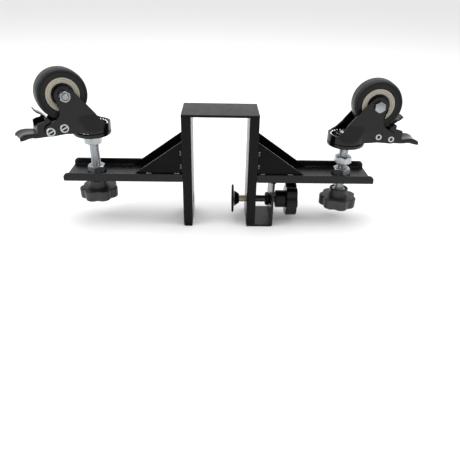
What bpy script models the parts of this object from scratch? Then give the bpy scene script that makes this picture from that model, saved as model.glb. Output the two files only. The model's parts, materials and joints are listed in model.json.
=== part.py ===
"""A clamp-on caster bracket: a sheet-steel saddle that grips the edge of a panel, with an arm on each side
that carries a braked swivel caster on a screwed stem.

Metres, +Z up. The bracket is modelled as it stands on its two saddle legs, with the casters pointing up.
The origin is the middle of the saddle's seat, the underside of the bridge plate.
"""

import math

import bmesh
import bpy
from mathutils import Vector

# Driving dimensions, in metres.
SHEET = 0.0025
GAP = 0.0003
DEPTH = 0.048
SADDLE_INNER = 0.060
SADDLE_OUTER = 0.080
SADDLE_DEEP = 0.1245
BEND = 0.0025
BEND_INSIDE = 0.0006

# The arms and their gussets.
ARM_END = 0.167
ARM_UNDER = 0.053 - SADDLE_DEEP
ARM_FLANGE = 0.0095
ARM_CORNER = 0.005
GUSSET_SHEET = 0.002
GUSSET_REACH = 0.0999
GUSSET_RISE = 0.0422
GUSSET_START = 0.034

# The clamp on the right leg.
CLAMP_BOX_OUTER = 0.060
CLAMP_AXIS = 0.024 - SADDLE_DEEP
CLAMP_SCREW_RADIUS = 0.004
CLAMP_NUT_ACROSS = 0.013
CLAMP_NUT_LENGTH = 0.0048
PAD_FACE = 0.014
PAD_SHEET = 0.0025
PAD_RADIUS = 0.016
CUP_LENGTH = 0.0055
CLAMP_KNOB_START = 0.0643
CLAMP_KNOB_RADIUS = 0.019
CLAMP_NECK = 0.0112
CLAMP_HEAD = 0.0125

# The stems, nuts and height knobs.
STEM_X = 0.1365
STEM_RADIUS = 0.005
STEM_BELOW_RACE = 0.065
NUT_ACROSS = 0.017
NUT_HEIGHT = 0.008
KNOB_BELOW_RACE = 0.0493
KNOB_RADIUS = 0.021
KNOB_NECK = 0.0092
KNOB_HEAD = 0.0115
KNOB_NECK_RADIUS = 0.0104
KNOB_LOBES = 7

# The caster, measured from the underside of its top race, with the trail along local +X.
TRAIL = 0.0265
AXLE_UP = 0.0475
WHEEL_RADIUS = 0.025
WHEEL_WIDTH = 0.021
CORE_RADIUS = 0.0165
BEARING_RADIUS = 0.011
BEARING_BORE = 0.004
BEARING_WIDTH = 0.007
RACE_RADIUS = 0.020
FORK_FLOOR = 0.0084
FORK_SHEET = 0.0016
FORK_RIM = 0.0145
PLATE_INNER = 0.0122
PLATE_SHEET = 0.002
BOSS_RADIUS = 0.0095
PIVOT = (0.0442, 0.0138)
FORK_RIVET = (0.0308, 0.0158)
RIVET_RADIUS = 0.0025
AXLE_RADIUS = 0.003
CHEEK_INNER = 0.0101
CHEEK_SHEET = 0.0015
PEDAL_SHEET = 0.0016
TAB_HALF = 0.0058
PEDAL_LINE = [(0.0118, -0.0018), (0.0160, -0.0014), (0.0210, -0.0009), (0.0252, -0.0013), (0.0282, -0.0024),
              (0.0304, -0.0040)]
EDGE = 0.0001

# Each side: its sign along X, the height of its top race over the saddle's foot, the heading of its
# wheel and how far its lock nut stands under the race.
SIDES = {
    "left": (-1, 0.0967, math.radians(-151.0), GAP),
    "right": (1, 0.0883, math.radians(-2.6), 0.0108),
}

BLACK_COAT = ("black_coat", (0.018, 0.018, 0.020), 0.32, 0.0)
BLACK_STAMPING = ("black_stamping", (0.012, 0.012, 0.013), 0.25, 0.0)
ZINC = ("zinc", (0.62, 0.64, 0.66), 0.28, 1.0)
WARM_ZINC = ("warm_zinc", (0.48, 0.42, 0.34), 0.34, 1.0)
KNOB_PLASTIC = ("knob_plastic", (0.045, 0.045, 0.047), 0.42, 0.0)
TREAD_RUBBER = ("tread_rubber", (0.035, 0.036, 0.038), 0.55, 0.0)
CORE_NYLON = ("core_nylon", (0.55, 0.50, 0.42), 0.45, 0.0)
SEAL_BLACK = ("seal_black", (0.02, 0.02, 0.02), 0.5, 0.0)
BRIGHT_STEEL = ("bright_steel", (0.6, 0.6, 0.6), 0.2, 1.0)


# Shapes.


def arc(centre, radius, start, end, count):
    """Points on an arc from start to end degrees, both included."""
    steps = [math.radians(start + (end - start) * i / (count - 1)) for i in range(count)]
    return [(centre[0] + radius * math.cos(a), centre[1] + radius * math.sin(a)) for a in steps]


def rounded(corners, count=4):
    """An outline whose corners, (x, y, radius), are rounded by arcs of count points."""
    points = []
    for i, (x, y, radius) in enumerate(corners):
        if radius == 0:
            points.append((x, y))
            continue
        here = Vector((x, y))
        back = (Vector(corners[i - 1][:2]) - here).normalized()
        ahead = (Vector(corners[(i + 1) % len(corners)][:2]) - here).normalized()
        half = back.angle(ahead) / 2
        centre = here + (back + ahead).normalized() * radius / math.sin(half)
        first = here + back * radius / math.tan(half) - centre
        last = here + ahead * radius / math.tan(half) - centre
        turn = first.angle_signed(last)
        start = math.atan2(first.y, first.x)
        for k in range(count):
            angle = start - turn * k / (count - 1)
            points.append((centre.x + radius * math.cos(angle), centre.y + radius * math.sin(angle)))
    return points


def circle(count, radius):
    """The radius of a round ring at each of its points."""
    return [radius] * count


def hexagon(count, across):
    """The radius of a six-sided ring at each of its points, with corners at 30 degrees and every 60 on."""
    step = 2 * math.pi / count
    sixth = math.pi / 3
    return [across / 2 / math.cos((k * step) % sixth - (sixth if (k * step) % sixth > sixth / 2 else 0))
            for k in range(count)]


def star(count, radius, dip):
    """The radius of a lobed ring at each of its points: broad lobes with narrow valleys of depth dip."""
    waves = [(1 + math.cos(KNOB_LOBES * 2 * math.pi * k / count)) / 2 for k in range(count)]
    return [radius - dip * (1 - wave) ** 1.6 for wave in waves]


def ring(radii, height):
    """A ring of points round the Z axis."""
    step = 2 * math.pi / len(radii)
    return [Vector((r * math.cos(k * step), r * math.sin(k * step), height)) for k, r in enumerate(radii)]


def loft(rings, bored=False):
    """A closed body through rings of equal count. A bored one joins its last ring to its first."""
    mesh = bmesh.new()
    loops = [[mesh.verts.new(point) for point in points] for points in rings]
    count = len(loops[0])
    pairs = list(zip(loops, loops[1:]))
    if bored:
        pairs.append((loops[-1], loops[0]))
    else:
        mesh.faces.new(loops[0][::-1])
        mesh.faces.new(loops[-1])
    for low, high in pairs:
        for k in range(count):
            mesh.faces.new((low[k], low[(k + 1) % count], high[(k + 1) % count], high[k]))
    bmesh.ops.recalc_face_normals(mesh, faces=mesh.faces)
    return mesh


def turned(profile, count, bored=False):
    """A round body through the (radius, height) points of its profile."""
    return loft([ring(circle(count, radius), height) for radius, height in profile], bored)


def extruded(outline, low, high, along):
    """A prism of a flat outline, from low to high along X, Y or Z."""
    places = {
        "X": lambda p, d: (d, p[0], p[1]),
        "Y": lambda p, d: (p[0], d, p[1]),
        "Z": lambda p, d: (p[0], p[1], d),
    }
    rings = [[Vector(places[along](point, distance)) for point in outline] for distance in (low, high)]
    return loft(rings)


# Objects.


def clear_scene():
    for obj in list(bpy.data.objects):
        bpy.data.objects.remove(obj)


def material(finish):
    name, colour, roughness, metallic = finish
    found = bpy.data.materials.get(name)
    if found:
        return found
    made = bpy.data.materials.new(name)
    made.use_nodes = True
    made.diffuse_color = (*colour, 1)
    shader = made.node_tree.nodes["Principled BSDF"]
    shader.inputs["Base Color"].default_value = (*colour, 1)
    shader.inputs["Roughness"].default_value = roughness
    shader.inputs["Metallic"].default_value = metallic
    return made


def add(name, mesh, finish, place=(0, 0, 0), turn=(0, 0, 0), parent=None):
    """Puts a mesh in the scene as an object, with its sharp edges kept and the rest shaded smooth."""
    data = bpy.data.meshes.new(name)
    mesh.to_mesh(data)
    mesh.free()
    data.shade_smooth()
    data.set_sharp_from_angle(angle=math.radians(35))
    data.materials.append(material(finish))
    obj = bpy.data.objects.new(name, data)
    obj.location = place
    obj.rotation_euler = turn
    obj.parent = parent
    bpy.context.scene.collection.objects.link(obj)
    return obj


def add_axis(name, place, turn=(0, 0, 0), parent=None):
    empty = bpy.data.objects.new(name, None)
    empty.location = place
    empty.rotation_euler = turn
    empty.parent = parent
    bpy.context.scene.collection.objects.link(empty)
    return empty


def helper(name, mesh, target, place=(0, 0, 0), turn=(0, 0, 0)):
    """A body that a Boolean uses, which stays out of the finished part."""
    obj = add(name, mesh, BLACK_COAT, place, turn, target)
    obj.hide_render = True
    obj.display_type = "WIRE"
    return obj


def combine(target, other, operation):
    modifier = target.modifiers.new(operation.lower(), "BOOLEAN")
    modifier.operation = operation
    modifier.object = other


def drill(target, radius, place, turn=(0, 0, 0), reach=0.04, count=20):
    """A round hole through target, centred on place, along the local Z axis after turn."""
    drill = turned([(radius, -reach), (radius, reach)], count)
    cutter = helper(target.name + "_drill", drill, target, place, turn)
    combine(target, cutter, "DIFFERENCE")


ALONG_X = (0, math.pi / 2, 0)
ALONG_Y = (-math.pi / 2, 0, 0)


# The welded frame.


def bridge_plate():
    half = SADDLE_OUTER / 2
    seat = SADDLE_INNER / 2 - GAP
    left_end = [(-half, SHEET), (-half, GAP), (-seat, GAP), (-seat, 0)]
    outline = left_end + [(-x, z) for x, z in reversed(left_end)]
    add("bridge_plate", extruded(outline, -DEPTH / 2, DEPTH / 2, "Y"), BLACK_COAT)


def channel_section(web, flange, width):
    """A channel's outline: its web lies on x = 0 and its flanges reach to x = flange."""
    half = width / 2
    corners = [
        (0, -half, BEND),
        (flange, -half, 0),
        (flange, -half + web, 0),
        (web, -half + web, BEND_INSIDE),
        (web, half - web, BEND_INSIDE),
        (flange, half - web, 0),
        (flange, half, 0),
        (0, half, BEND),
    ]
    return rounded(corners)


def leg_channel(side, sign):
    inner = SADDLE_INNER / 2
    flange = SADDLE_OUTER / 2 - inner
    outline = [(sign * (inner + x), y) for x, y in channel_section(SHEET, flange, DEPTH)]
    leg = add(side + "_leg_channel", extruded(outline, SHEET + GAP - SADDLE_DEEP, 0, "Z"), BLACK_COAT)
    hole = CLAMP_SCREW_RADIUS + 0.0005 if sign > 0 else 0.0055
    drill(leg, hole, (sign * (inner + SHEET / 2), 0, CLAMP_AXIS), ALONG_X, 0.004)


def left_foot_plate():
    half = DEPTH / 2
    corners = [
        (-SADDLE_OUTER / 2, -half, 0.003),
        (-SADDLE_INNER / 2 - 0.0005, -half, 0.001),
        (-SADDLE_INNER / 2 - 0.0005, half, 0.001),
        (-SADDLE_OUTER / 2, half, 0.003),
    ]
    add("left_foot_plate", extruded(rounded(corners), -SADDLE_DEEP, SHEET - SADDLE_DEEP, "Z"), BLACK_COAT)


def clamp_box():
    """The foot of the right leg and the outer plate that the clamp screw passes, bent from one strip."""
    inner = SADDLE_INNER / 2 + 0.0005
    corners = [
        (inner, -SADDLE_DEEP, 0),
        (CLAMP_BOX_OUTER, -SADDLE_DEEP, BEND),
        (CLAMP_BOX_OUTER, ARM_UNDER - GAP, 0),
        (CLAMP_BOX_OUTER - SHEET, ARM_UNDER - GAP, 0),
        (CLAMP_BOX_OUTER - SHEET, SHEET - SADDLE_DEEP, BEND_INSIDE),
        (inner, SHEET - SADDLE_DEEP, 0),
    ]
    box = add("clamp_box", extruded(rounded(corners), -DEPTH / 2, DEPTH / 2, "Y"), BLACK_COAT)
    place = (CLAMP_BOX_OUTER - SHEET / 2, 0, CLAMP_AXIS)
    drill(box, CLAMP_SCREW_RADIUS + 0.0005, place, ALONG_X, 0.004)


def arm_channel(side, sign):
    start = SADDLE_OUTER / 2 + GAP
    outline = [(y, ARM_UNDER + x) for x, y in channel_section(SHEET, ARM_FLANGE, DEPTH)]
    ends = sorted((sign * start, sign * ARM_END))
    arm = add(side + "_arm_channel", extruded(outline, ends[0], ends[1], "X"), BLACK_COAT)
    drill(arm, STEM_RADIUS + 0.0006, (sign * STEM_X, 0, ARM_UNDER), reach=0.005)
    top = ARM_UNDER + ARM_FLANGE
    past = 0.002
    bend = ARM_END - ARM_CORNER
    corner = [(ARM_END + past, top - ARM_CORNER), (ARM_END + past, top + past), (bend, top + past)]
    curve = arc((ARM_END - ARM_CORNER, top - ARM_CORNER), ARM_CORNER, 90, 0, 5)
    cut = [(sign * x, z) for x, z in corner + curve]
    combine(arm, helper(side + "_arm_corner", extruded(cut, -DEPTH, DEPTH, "Y"), arm), "DIFFERENCE")


def gusset(side, sign, face, front):
    foot = ARM_UNDER + SHEET + GAP
    slope = GUSSET_RISE / (GUSSET_REACH - SADDLE_OUTER / 2)
    peak = foot + slope * (GUSSET_REACH - GUSSET_START)
    outline = [(sign * GUSSET_START, foot), (sign * GUSSET_REACH, foot), (sign * GUSSET_START, peak)]
    outer = DEPTH / 2 - SHEET - GAP
    ends = sorted((front * outer, front * (outer - GUSSET_SHEET)))
    add(f"{side}_{face}_gusset", extruded(outline, ends[0], ends[1], "Y"), BLACK_COAT)


def hex_nut(name, across, height, bore, finish, place, turn=(0, 0, 0), parent=None):
    """A six-sided nut that stands on its local Z = 0."""
    rings = [ring(circle(24, bore), 0), ring(hexagon(24, across), 0)]
    rings += [ring(hexagon(24, across), height), ring(circle(24, bore), height)]
    add(name, loft(rings, bored=True), finish, place, turn, parent)


def frame():
    bridge_plate()
    left_foot_plate()
    clamp_box()
    for side, (sign, *_) in SIDES.items():
        leg_channel(side, sign)
        arm_channel(side, sign)
        gusset(side, sign, "front", -1)
        gusset(side, sign, "rear", 1)
        place = (sign * STEM_X, 0, ARM_UNDER + SHEET + GAP)
        hex_nut(side + "_weld_nut", NUT_ACROSS, NUT_HEIGHT, STEM_RADIUS + GAP, ZINC, place)
    nut_place = (CLAMP_BOX_OUTER - SHEET - GAP - CLAMP_NUT_LENGTH, 0, CLAMP_AXIS)
    bore = CLAMP_SCREW_RADIUS + GAP
    hex_nut("clamp_weld_nut", CLAMP_NUT_ACROSS, CLAMP_NUT_LENGTH, bore, BLACK_COAT, nut_place, ALONG_X)


# The knobs and the clamp.


def star_knob(name, radius, neck_radius, neck, head, bore, place, turn, parent=None):
    """A lobed knob whose neck starts at its local Z = 0 and whose head faces local +Z."""
    count = KNOB_LOBES * 5
    bevel = 0.0008
    floor = neck + head - 0.003
    lobes = star(count, radius, 0.0024)
    edge = [r - bevel for r in lobes]
    rings = [
        ring(circle(count, bore), floor),
        ring(circle(count, bore), 0),
        ring(circle(count, neck_radius), 0),
        ring(circle(count, neck_radius), neck),
        ring(edge, neck),
        ring(lobes, neck + bevel),
        ring(lobes, neck + head - bevel),
        ring(edge, neck + head),
    ]
    add(name, loft(rings), KNOB_PLASTIC, place, turn, parent)


def clamp():
    axis = add_axis("clamp_axis", (0, 0, CLAMP_AXIS))
    cup_start = PAD_SHEET + GAP
    pad = [(PAD_RADIUS, 0), (PAD_RADIUS, PAD_SHEET)]
    add("clamp_pad_disc", turned(pad, 32), BLACK_STAMPING, (PAD_FACE, 0, 0), ALONG_X, axis)
    cup = [(0.0090, 0), (0.0058, CUP_LENGTH), (0.0043, CUP_LENGTH), (0.0043, 0.0015)]
    add("clamp_pad_cup", turned(cup, 20), BLACK_STAMPING, (PAD_FACE + cup_start, 0, 0), ALONG_X, axis)
    screw_start = PAD_FACE + cup_start + 0.0015 + GAP
    length = CLAMP_KNOB_START + 0.015 - screw_start
    tip = 0.0006
    rod = CLAMP_SCREW_RADIUS
    screw = [(rod - tip, 0), (rod, tip), (rod, length - tip), (rod - tip, length)]
    add("clamp_screw", turned(screw, 24), WARM_ZINC, (screw_start, 0, 0), ALONG_X, axis)
    place = (CLAMP_KNOB_START, 0, 0)
    star_knob("clamp_knob", CLAMP_KNOB_RADIUS, 0.010, CLAMP_NECK, CLAMP_HEAD, rod + GAP, place, ALONG_X, axis)


# The casters.


def stem_parts(side, sign, lock_drop, axis):
    """What screws up and down in the arm: the stem with its knob, the lock nut and the top race."""
    rod = STEM_RADIUS
    head = 0.0075
    head_low = 0.0153
    chamfer = 0.0008
    stem = [(rod - chamfer, -STEM_BELOW_RACE), (rod, -STEM_BELOW_RACE + chamfer)]
    stem += [(rod, head_low), (head, head_low)]
    stem += [(head, head_low + 0.0012), (head - 0.0022, head_low + 0.0022)]
    add(side + "_stem", turned(stem, 24), ZINC, parent=axis)
    upside_down = (math.pi, 0, 0)
    place = (0, 0, -KNOB_BELOW_RACE)
    name = side + "_height_knob"
    star_knob(name, KNOB_RADIUS, KNOB_NECK_RADIUS, KNOB_NECK, KNOB_HEAD, rod + GAP, place, upside_down, axis)
    place = (0, 0, -lock_drop - NUT_HEIGHT)
    hex_nut(side + "_lock_nut", NUT_ACROSS, NUT_HEIGHT, rod + GAP, ZINC, place, parent=axis)
    wall = 0.0016
    bore = rod + GAP
    low_race = [(bore, 0), (0.010, 0), (0.0180, 0.0020), (RACE_RADIUS, 0.0034), (RACE_RADIUS, 0.0063)]
    low_race += [(RACE_RADIUS - wall, 0.0063), (RACE_RADIUS - wall, 0.0042), (0.0115, 0.0022), (bore, wall)]
    add(side + "_top_race", turned(low_race, 30, bored=True), BLACK_STAMPING, parent=axis)
    retainer = [(bore, 0.0136), (0.0117, 0.0136), (0.0112, 0.0150), (bore, 0.0150)]
    add(side + "_retainer_cup", turned(retainer, 20, bored=True), BLACK_STAMPING, parent=axis)


def ball_ring(name, radius, tube, height, axis):
    points = [(radius + x, height + y) for x, y in arc((0, 0), tube, 0, 288, 5)]
    add(name, turned(points, 20, bored=True), BRIGHT_STEEL, parent=axis)


def fork_plate_outline():
    boss = (TRAIL, AXLE_UP)
    swivel_end = [(-0.0130, 0.0085), (-0.0130, 0.0140), (-0.0095, 0.0172)]
    swivel_end += [(-0.0054, 0.0222), (-0.0002, 0.0296)]
    swivel_end += [(0.0070, 0.0386)]
    brake_end = [(0.0326, 0.0330), (0.0342, 0.0276), (0.0390, 0.0238), (0.0460, 0.0205), (0.0492, 0.0180)]
    pivot_end = arc(PIVOT, 0.0050, 10, -90, 5)
    return swivel_end + arc(boss, BOSS_RADIUS, 142, -28, 10) + brake_end + pivot_end + [(0.0150, 0.0092)]


def fork(side, axis):
    """A pressed cup that holds the ball races, with a side plate up each side of the wheel."""
    wall = FORK_SHEET
    top = FORK_FLOOR + wall
    cup = [(0.006, FORK_FLOOR), (0.0165, FORK_FLOOR), (0.0182, 0.0070)]
    cup += [(RACE_RADIUS, 0.0076), (RACE_RADIUS, FORK_RIM)]
    cup += [(RACE_RADIUS - wall, FORK_RIM), (RACE_RADIUS - wall, 0.0112), (0.0172, top), (0.006, top)]
    body = add(side + "_fork", turned(cup, 32, bored=True), BLACK_STAMPING, parent=axis)
    for face, sign in (("near", 1), ("far", -1)):
        ends = sorted((sign * PLATE_INNER, sign * (PLATE_INNER + PLATE_SHEET)))
        blank = extruded(fork_plate_outline(), ends[0], ends[1], "Y")
        plate = helper(f"{side}_fork_{face}_plate", blank, body)
        combine(body, plate, "UNION")
    drill(body, AXLE_RADIUS + GAP, (TRAIL, 0, AXLE_UP), ALONG_Y)
    for x, z in (PIVOT, FORK_RIVET):
        drill(body, RIVET_RADIUS + GAP, (x, 0, z), ALONG_Y, count=16)


def rivet(name, place, axis):
    """A rivet across the fork, with a broad formed head on its local +Z side."""
    outer = PLATE_INNER + PLATE_SHEET + GAP
    rod = RIVET_RADIUS
    profile = [(0.0024, -outer - 0.0010), (0.0032, -outer), (rod, -outer)]
    profile += [(rod, outer), (0.0045, outer), (0.0034, outer + 0.0012)]
    add(name, turned(profile, 14), ZINC, (place[0], 0, place[1]), ALONG_Y, axis)


def wheel_parts(side, axle):
    """The tyre, core and bearings, turned about the axle, and the sleeve, bolt and nut that stay still."""
    half = WHEEL_WIDTH / 2
    core = CORE_RADIUS + GAP
    crown = WHEEL_RADIUS
    tyre = [(core, -half + 0.0004), (0.0222, -half + 0.0002), (0.0240, -half + 0.0016)]
    tyre += [(crown - 0.0003, -half + 0.0040), (crown, 0)]
    tyre += [(radius, -height) for radius, height in reversed(tyre[:-1])]
    add(side + "_tyre", turned(tyre, 36, bored=True), TREAD_RUBBER, parent=axle)
    seat = BEARING_RADIUS + GAP
    face = 0.0094
    deep = 0.0030
    shoulder = 0.0090
    body = [(seat, -face), (CORE_RADIUS, -face - 0.0004), (CORE_RADIUS, face + 0.0004), (seat, face)]
    body += [(seat, deep), (shoulder, deep), (shoulder, -deep), (seat, -deep)]
    add(side + "_wheel_core", turned(body, 28, bored=True), CORE_NYLON, parent=axle)
    bore = BEARING_BORE + 0.0001
    for name, sign in (("outer", 1), ("inner", -1)):
        ends = sorted((sign * (deep + GAP), sign * (deep + GAP + BEARING_WIDTH - 0.0005)))
        bearing = [(bore, ends[0]), (BEARING_RADIUS, ends[0]), (BEARING_RADIUS, ends[1]), (bore, ends[1])]
        add(f"{side}_{name}_bearing", turned(bearing, 20, bored=True), SEAL_BLACK, parent=axle)
    sleeve_half = PLATE_INNER - GAP
    sleeve = [(AXLE_RADIUS + GAP, -sleeve_half), (0.0038, -sleeve_half), (0.0038, sleeve_half)]
    sleeve += [(AXLE_RADIUS + GAP, sleeve_half)]
    add(side + "_axle_sleeve", turned(sleeve, 16, bored=True), BRIGHT_STEEL, parent=axle)
    outer = PLATE_INNER + PLATE_SHEET + GAP
    head = outer + 0.004
    rings = [ring(hexagon(24, 0.0088), -head), ring(hexagon(24, 0.010), -head + 0.0006)]
    rings += [ring(hexagon(24, 0.010), -outer), ring(circle(24, AXLE_RADIUS), -outer)]
    rings.append(ring(circle(24, AXLE_RADIUS), outer + 0.0062))
    rings.append(ring(circle(24, AXLE_RADIUS - 0.0005), outer + 0.0067))
    add(side + "_axle_bolt", loft(rings), ZINC, parent=axle)
    hex_nut(side + "_axle_nut", 0.010, 0.005, AXLE_RADIUS + GAP, ZINC, (0, 0, outer), parent=axle)


def lever_outline():
    """The side of the brake lever, measured from its pivot: a cheek that runs on as the pedal's flange."""
    under = [(-0.0062, -0.0050, 0.002), (0.0150, -0.0053, 0.004), (0.0185, -0.0047, 0.003)]
    under += [(0.0240, -0.0058, 0.003), (0.0292, -0.0066, 0.0010)]
    over = [(x, z, 0) for x, z in reversed(PEDAL_LINE)]
    shoe_end = [(0.0119, 0.0020, 0), (0.0118, 0.0079, 0.0014), (0.0085, 0.0092, 0.001)]
    shoe_end += [(0.0036, 0.0102, 0.001), (0.0028, 0.0142, 0.0004), (0.0020, 0.0136, 0.0002)]
    shoe_end.append((-0.0018, 0.0100, 0.001))
    shoe_end.append((-0.0062, 0.0040, 0.002))
    return rounded(under + over + shoe_end, 3)


def strip(line, thickness):
    """The outline of a bent strip of even thickness along a line of points."""
    points = [Vector(point) for point in line]
    sides = ([], [])
    for i, point in enumerate(points):
        before = points[max(i - 1, 0)]
        after = points[min(i + 1, len(points) - 1)]
        along = (after - before).normalized()
        across = Vector((-along.y, along.x)) * thickness / 2
        sides[0].append(tuple(point + across))
        sides[1].append(tuple(point - across))
    return sides[0] + sides[1][::-1]


def brake_lever(side, axis):
    """A folded lever on its pivot: two cheeks inside the fork, a curved pedal and a shoe plate that runs
    square to the wheel's radius and on past the wheel as a release tab."""
    pivot = add_axis(side + "_brake_axis", (PIVOT[0], 0, PIVOT[1]), parent=axis)
    half = CHEEK_INNER + CHEEK_SHEET
    pedal = extruded(strip(PEDAL_LINE, PEDAL_SHEET), -half, half, "Y")
    lever = add(side + "_brake_lever", pedal, BLACK_STAMPING, parent=pivot)
    inside = CHEEK_INNER + CHEEK_SHEET * 0.6
    away = Vector((0.698, -0.716))
    tangent = Vector((0.716, 0.698))
    wheel = Vector((TRAIL - PIVOT[0], AXLE_UP - PIVOT[1]))
    middle = wheel + away * (WHEEL_RADIUS + 0.0032)
    shoe = [tuple(middle - tangent * 0.0045), tuple(middle + tangent * 0.0010)]
    tab = [tuple(middle + tangent * 0.0002), tuple(middle + tangent * 0.0123)]
    wall = [(0.0116, -0.0020), (0.0112, 0.0008), (0.0090, 0.0026)]
    pieces = {
        "wall": extruded(strip(wall, 0.0015), -inside, inside, "Y"),
        "shoe": extruded(strip(shoe, 0.0016), -inside, inside, "Y"),
        "tab": extruded(strip(tab, 0.0015), -TAB_HALF, TAB_HALF, "Y"),
        "near_cheek": extruded(lever_outline(), CHEEK_INNER, half - EDGE, "Y"),
        "far_cheek": extruded(lever_outline(), EDGE - half, -CHEEK_INNER, "Y"),
    }
    for piece, mesh in pieces.items():
        combine(lever, helper(f"{side}_lever_{piece}", mesh, lever), "UNION")
    drill(lever, RIVET_RADIUS + GAP, (0, 0, 0), ALONG_Y, count=16)


def brake_spring(side, axis):
    line = [(0.0342, 0.0128), (0.0352, 0.0160), (0.0375, 0.0186), (0.0395, 0.0200)]
    leaf = extruded(strip(line, 0.0008), -0.0085, 0.0085, "Y")
    add(side + "_brake_spring", leaf, BRIGHT_STEEL, parent=axis)


def caster(side, sign, race_height, heading, lock_drop):
    place = (sign * STEM_X, 0, race_height - SADDLE_DEEP)
    stem_axis = add_axis(side + "_stem_axis", place)
    stem_parts(side, sign, lock_drop, stem_axis)
    ball_ring(side + "_main_ball_ring", 0.0140, 0.0021, 0.0059, stem_axis)
    ball_ring(side + "_upper_ball_ring", 0.0100, 0.0015, 0.0118, stem_axis)
    swivel_axis = add_axis(side + "_swivel_axis", (0, 0, 0), (0, 0, heading), stem_axis)
    fork(side, swivel_axis)
    rivet(side + "_brake_pivot_rivet", PIVOT, swivel_axis)
    rivet(side + "_fork_rivet", FORK_RIVET, swivel_axis)
    axle = add_axis(side + "_axle_axis", (TRAIL, 0, AXLE_UP), ALONG_Y, swivel_axis)
    wheel_parts(side, axle)
    brake_lever(side, swivel_axis)
    brake_spring(side, swivel_axis)


clear_scene()
frame()
clamp()
for side_name, (side_sign, race_over_foot, wheel_heading, nut_drop) in SIDES.items():
    caster(side_name, side_sign, race_over_foot, wheel_heading, nut_drop)
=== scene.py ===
"""The looks of the clamp-on wheel dolly bracket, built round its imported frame.

Metres, in the frame's own axes: +X runs along the arms towards the clamp, +Z out of the bridge's top face.
Each caster is made in local coordinates, with its origin under the top race, +X along the wheel's trail
and +Y along the axle.
"""

import json
import math

import bmesh
import bpy
from mathutils import Matrix, Vector, noise


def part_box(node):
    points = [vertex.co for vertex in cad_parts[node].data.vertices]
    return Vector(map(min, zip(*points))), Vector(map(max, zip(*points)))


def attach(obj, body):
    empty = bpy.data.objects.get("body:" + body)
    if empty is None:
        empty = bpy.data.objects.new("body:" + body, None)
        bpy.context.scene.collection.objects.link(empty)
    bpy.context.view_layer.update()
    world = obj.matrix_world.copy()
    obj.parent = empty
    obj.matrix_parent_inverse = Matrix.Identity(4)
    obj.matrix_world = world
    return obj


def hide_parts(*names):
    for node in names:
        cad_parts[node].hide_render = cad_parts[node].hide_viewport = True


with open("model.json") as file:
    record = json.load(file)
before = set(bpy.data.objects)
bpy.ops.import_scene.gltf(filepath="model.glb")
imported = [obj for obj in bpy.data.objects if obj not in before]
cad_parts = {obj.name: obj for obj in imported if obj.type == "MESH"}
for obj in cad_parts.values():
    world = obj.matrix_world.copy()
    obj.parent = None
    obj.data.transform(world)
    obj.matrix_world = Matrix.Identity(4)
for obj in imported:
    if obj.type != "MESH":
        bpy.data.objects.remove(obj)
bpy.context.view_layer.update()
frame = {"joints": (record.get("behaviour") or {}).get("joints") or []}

MM = 0.001
JOINTS = {joint["name"]: joint for joint in frame["joints"]}

# Sizes that the frame's boxes give.
BRIDGE_LOW, BRIDGE_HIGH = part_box("bridge_plate")
LEG_LOW, LEG_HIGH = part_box("right_leg_channel")
ARM_LOW, ARM_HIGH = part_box("right_arm_channel")
GUSSET_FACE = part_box("right_rear_gusset")[1].y
BOX_LOW, BOX_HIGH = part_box("clamp_box")
FOOT_LOW, FOOT_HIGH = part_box("left_foot_plate")
GUSSET_LOW, GUSSET_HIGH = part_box("right_front_gusset")
PAD_LOW, PAD_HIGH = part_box("clamp_pad_disc")
CLAMP_KNOB_LOW, CLAMP_KNOB_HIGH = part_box("clamp_knob")

SHEET = 2.5 * MM
BEND = 2.5 * MM
HALF_DEPTH = BRIDGE_HIGH.y
FLOOR = LEG_LOW.z - 0.3 * MM - SHEET
CLAMP_Z = (PAD_LOW.z + PAD_HIGH.z) / 2

STEM_RADIUS = 5 * MM
STEM_PITCH = 1.5 * MM
SCREW_RADIUS = 4 * MM
SCREW_PITCH = 1.25 * MM
NUT_ACROSS = 17 * MM
NUT_HEIGHT = 8 * MM
KNOB_LOBES = 7
BEVEL = 0.35 * MM

# The caster, in its local coordinates.
RACE_RADIUS = 20 * MM
PLATE_OUTER = 14.2 * MM
PLATE_SHEET = 1.9 * MM
SKIRT_LOW = 7.0 * MM
RIM_HIGH = 15.0 * MM
BOSS_RADIUS = 9.5 * MM
LEVER_HALF = 11.6 * MM
TAB_HALF = 5.8 * MM
FORK_RIVET = (30.8 * MM, 15.8 * MM)


# Outlines.


def arc(centre, radius, start, end, count):
    """Points on an arc from start to end degrees, both included."""
    angles = [math.radians(start + (end - start) * i / (count - 1)) for i in range(count)]
    return [(centre[0] + radius * math.cos(a), centre[1] + radius * math.sin(a)) for a in angles]


def rounded(corners, count=6):
    """A closed outline whose corners, (x, y, radius), are rounded by arcs of count points."""
    points = []
    for i, (x, y, radius) in enumerate(corners):
        if radius == 0:
            points.append((x, y))
            continue
        here = Vector((x, y))
        back = (Vector(corners[i - 1][:2]) - here).normalized()
        ahead = (Vector(corners[(i + 1) % len(corners)][:2]) - here).normalized()
        half = back.angle(ahead) / 2
        centre = here + (back + ahead).normalized() * radius / math.sin(half)
        first = here + back * radius / math.tan(half) - centre
        last = here + ahead * radius / math.tan(half) - centre
        turn = first.angle_signed(last)
        start = math.atan2(first.y, first.x)
        for k in range(count):
            angle = start - turn * k / (count - 1)
            points.append((centre.x + radius * math.cos(angle), centre.y + radius * math.sin(angle)))
    return points


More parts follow.
